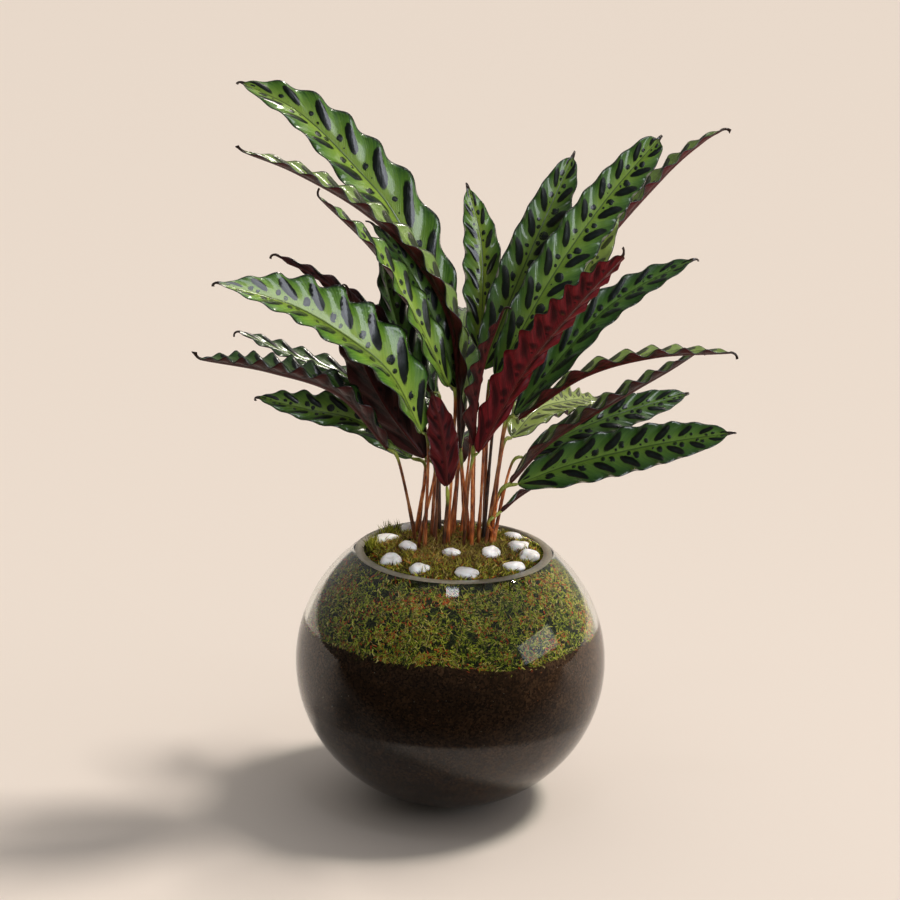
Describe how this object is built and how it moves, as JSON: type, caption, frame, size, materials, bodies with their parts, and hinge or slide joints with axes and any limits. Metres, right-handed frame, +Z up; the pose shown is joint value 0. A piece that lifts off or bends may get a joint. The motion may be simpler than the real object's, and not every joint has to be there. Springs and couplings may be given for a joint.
{
  "type": "potted rattlesnake plant",
  "caption": "Rattlesnake plant with long wavy patterned leaves, growing in a clear glass bubble bowl filled with potting soil, moss and white pebbles.",
  "frame": {"origin": "centre of the glass bowl's flat base, on the surface it stands on", "axes": "+Z up; -Y towards the front from which the plant is seen, +X to the right of that view"},
  "size_m": [0.4063, 0.2971, 0.5694],
  "materials": {
    "clear_glass": "gloss",
    "potting_soil": "matte",
    "moss": "matte",
    "white_pebble": "satin",
    "leaf_stalk": "satin",
    "leaf_blade": "satin"
  },
  "bodies": {
    "root": {"glass_bowl": "clear_glass", "potting_soil": "potting_soil", "moss": "moss", "crown_and_stalks": "leaf_stalk", "pebble_01": "white_pebble", "pebble_02": "white_pebble", "pebble_03": "white_pebble", "pebble_04": "white_pebble", "pebble_05": "white_pebble", "pebble_06": "white_pebble", "pebble_07": "white_pebble", "pebble_08": "white_pebble", "pebble_09": "white_pebble", "pebble_10": "white_pebble", "pebble_11": "white_pebble", "pebble_12": "white_pebble", "pebble_13": "white_pebble", "leaf_01": "leaf_blade", "leaf_02": "leaf_blade", "leaf_03": "leaf_blade", "leaf_04": "leaf_blade", "leaf_05": "leaf_blade", "leaf_06": "leaf_blade", "leaf_07": "leaf_blade", "leaf_08": "leaf_blade", "leaf_09": "leaf_blade", "leaf_10": "leaf_blade", "leaf_11": "leaf_blade", "leaf_12": "leaf_blade", "leaf_13": "leaf_blade", "leaf_14": "leaf_blade", "leaf_15": "leaf_blade", "leaf_16": "leaf_blade", "leaf_17": "leaf_blade", "leaf_18": "leaf_blade", "leaf_19": "leaf_blade", "leaf_20": "leaf_blade", "leaf_21": "leaf_blade", "leaf_22": "leaf_blade", "leaf_23": "leaf_blade", "leaf_24": "leaf_blade", "leaf_25": "leaf_blade", "leaf_26": "leaf_blade", "leaf_27": "leaf_blade", "leaf_28": "leaf_blade", "leaf_29": "leaf_blade", "leaf_30": "leaf_blade"}
  },
  "joints": []
}
